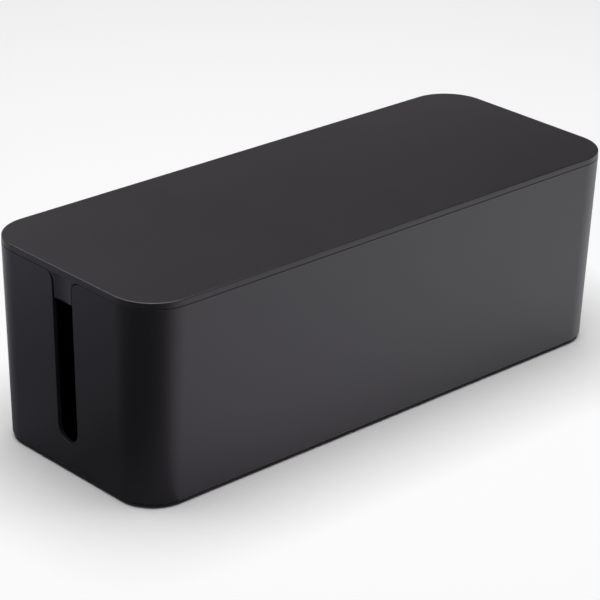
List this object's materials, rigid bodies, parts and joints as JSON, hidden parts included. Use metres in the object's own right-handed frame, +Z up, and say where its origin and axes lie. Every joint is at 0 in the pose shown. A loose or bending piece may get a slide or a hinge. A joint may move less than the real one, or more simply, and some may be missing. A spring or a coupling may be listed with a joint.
{
  "type": "cable management box",
  "caption": "Long rounded box that hides a power strip: a drafted tub with a round-bottomed cable slot in each end and a lift-off lid whose tongues close the tops of the slots.",
  "frame": {"origin": "on the floor, under the middle of the box", "axes": "+X along the box, +Y across it towards the rear side, +Z up through the lid"},
  "size_m": [0.4, 0.1544, 0.1343],
  "materials": {
    "tub_abs": "satin black moulded ABS with a fine spark-eroded texture",
    "lid_abs": "satin black moulded ABS with a fine spark-eroded texture",
    "foot_rubber": "matte black rubber"
  },
  "bodies": {
    "tub_body": {"tub": "tub_abs", "foot_front_left": "foot_rubber", "foot_front_right": "foot_rubber", "foot_rear_left": "foot_rubber", "foot_rear_right": "foot_rubber"},
    "lid_body": {"lid": "lid_abs"}
  },
  "joints": [
    {"name": "lid_lift", "type": "slide", "parent": "tub_body", "child": "lid_body", "axis": [0, 0, 1], "range_m": [0, 0.1]}
  ]
}
